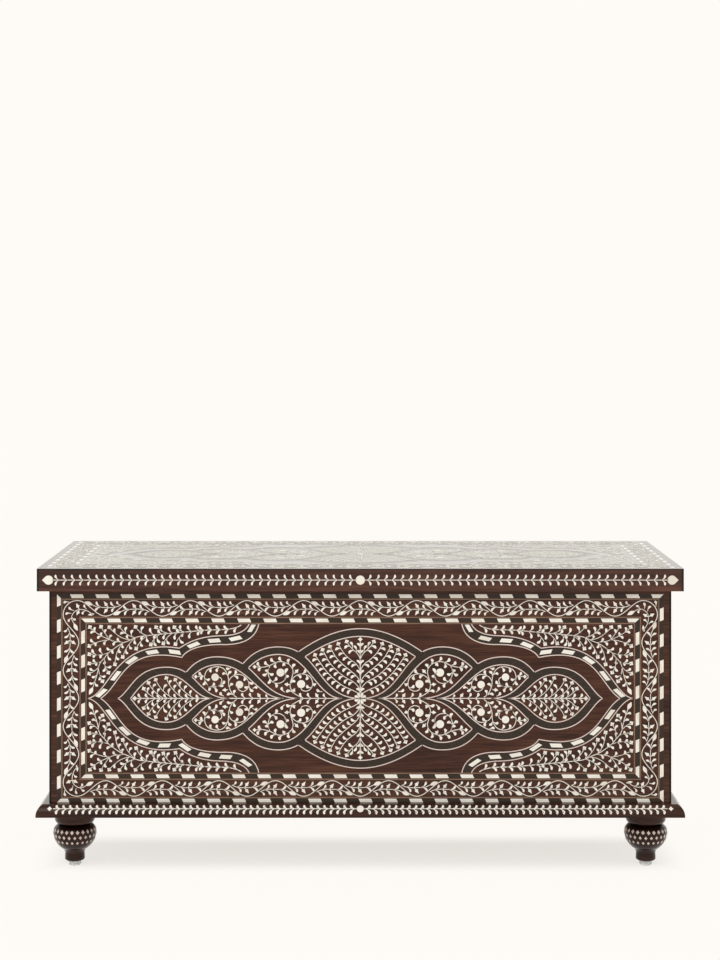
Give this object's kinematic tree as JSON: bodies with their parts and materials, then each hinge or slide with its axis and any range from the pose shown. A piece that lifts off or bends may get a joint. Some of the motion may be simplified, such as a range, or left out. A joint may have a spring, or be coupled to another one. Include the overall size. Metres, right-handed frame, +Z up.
{
  "type": "bone inlay trunk",
  "caption": "Storage trunk with bone inlay vines and medallions let into dark brown wood, a hinged lid on folding stays, a base moulding and turned feet.",
  "frame": {"origin": "middle of the footprint on the floor", "axes": "+X to the right along the front, +Y to the back, +Z up"},
  "size_m": [1.104, 0.4606, 0.517],
  "materials": {
    "lacquered_wood": "polished dark brown lacquer",
    "plain_wood": "oiled",
    "bone": "polished bone",
    "ebony_resin": "polished",
    "brass": "satin",
    "steel": "zinc plated",
    "clear_plastic": "clear"
  },
  "bodies": {
    "chest": {"back_panel": "lacquered_wood", "base_moulding_front": "lacquered_wood", "base_moulding_left": "lacquered_wood", "base_moulding_right": "lacquered_wood", "bottom_panel": "plain_wood", "corner_blocks": "plain_wood", "foot_back_left": "lacquered_wood", "foot_back_right": "lacquered_wood", "foot_front_left": "lacquered_wood", "foot_front_right": "lacquered_wood", "foot_glides": "clear_plastic", "foot_studs": "steel", "front_border_bone": "bone", "front_border_ebony": "ebony_resin", "front_corner_band": "ebony_resin", "front_medallion_band": "ebony_resin", "front_panel": "lacquered_wood", "hinge_box_leaf_left": "brass", "hinge_box_leaf_middle": "brass", "hinge_box_leaf_right": "brass", "hinge_box_screws": "brass", "hinge_pins": "brass", "left_border_bone": "bone", "left_border_ebony": "ebony_resin", "left_medallion_band": "ebony_resin", "left_panel": "lacquered_wood", "right_border_bone": "bone", "right_border_ebony": "ebony_resin", "right_medallion_band": "ebony_resin", "right_panel": "lacquered_wood", "stay_box_bracket_left": "brass", "stay_box_bracket_right": "brass", "stay_box_screws": "brass"},
    "lid": {"hinge_lid_leaf_left": "brass", "hinge_lid_leaf_middle": "brass", "hinge_lid_leaf_right": "brass", "hinge_lid_screws": "brass", "lid_back_rail": "lacquered_wood", "lid_battens": "plain_wood", "lid_border_bone": "bone", "lid_border_ebony": "ebony_resin", "lid_corner_band": "ebony_resin", "lid_front_rail": "lacquered_wood", "lid_left_rail": "lacquered_wood", "lid_medallion_band": "ebony_resin", "lid_panel": "lacquered_wood", "lid_right_rail": "lacquered_wood", "stay_lid_bracket_left": "brass", "stay_lid_bracket_right": "brass", "stay_lid_screws": "brass"},
    "stay_lower_left": {"stay_lower_arm_left": "brass"},
    "stay_lower_right": {"stay_lower_arm_right": "brass"},
    "stay_upper_left": {"stay_upper_arm_left": "brass"},
    "stay_upper_right": {"stay_upper_arm_right": "brass"}
  },
  "joints": [
    {"name": "lid_hinge", "type": "hinge", "parent": "chest", "child": "lid", "pos_m": [0, 0.22625, 0.4785], "axis": [-1, 0, 0], "range_deg": [0, 100]},
    {"name": "stay_lower_left_pivot", "type": "hinge", "parent": "chest", "child": "stay_lower_left", "pos_m": [-0.50785, 0.16825, 0.3135], "axis": [-1, 0, 0], "range_deg": [0, 100]},
    {"name": "stay_upper_left_pivot", "type": "hinge", "parent": "lid", "child": "stay_upper_left", "pos_m": [-0.50495, 0.05625, 0.4665], "axis": [-1, 0, 0], "range_deg": [-100, 0]},
    {"name": "stay_lower_right_pivot", "type": "hinge", "parent": "chest", "child": "stay_lower_right", "pos_m": [0.50785, 0.16825, 0.3135], "axis": [-1, 0, 0], "range_deg": [0, 100]},
    {"name": "stay_upper_right_pivot", "type": "hinge", "parent": "lid", "child": "stay_upper_right", "pos_m": [0.50495, 0.05625, 0.4665], "axis": [-1, 0, 0], "range_deg": [-100, 0]}
  ],
  "couplings": [
    {"joint": "stay_lower_left_pivot", "follows": "lid_hinge", "ratio": 1},
    {"joint": "stay_upper_left_pivot", "follows": "lid_hinge", "ratio": -1},
    {"joint": "stay_lower_right_pivot", "follows": "lid_hinge", "ratio": 1},
    {"joint": "stay_upper_right_pivot", "follows": "lid_hinge", "ratio": -1}
  ]
}
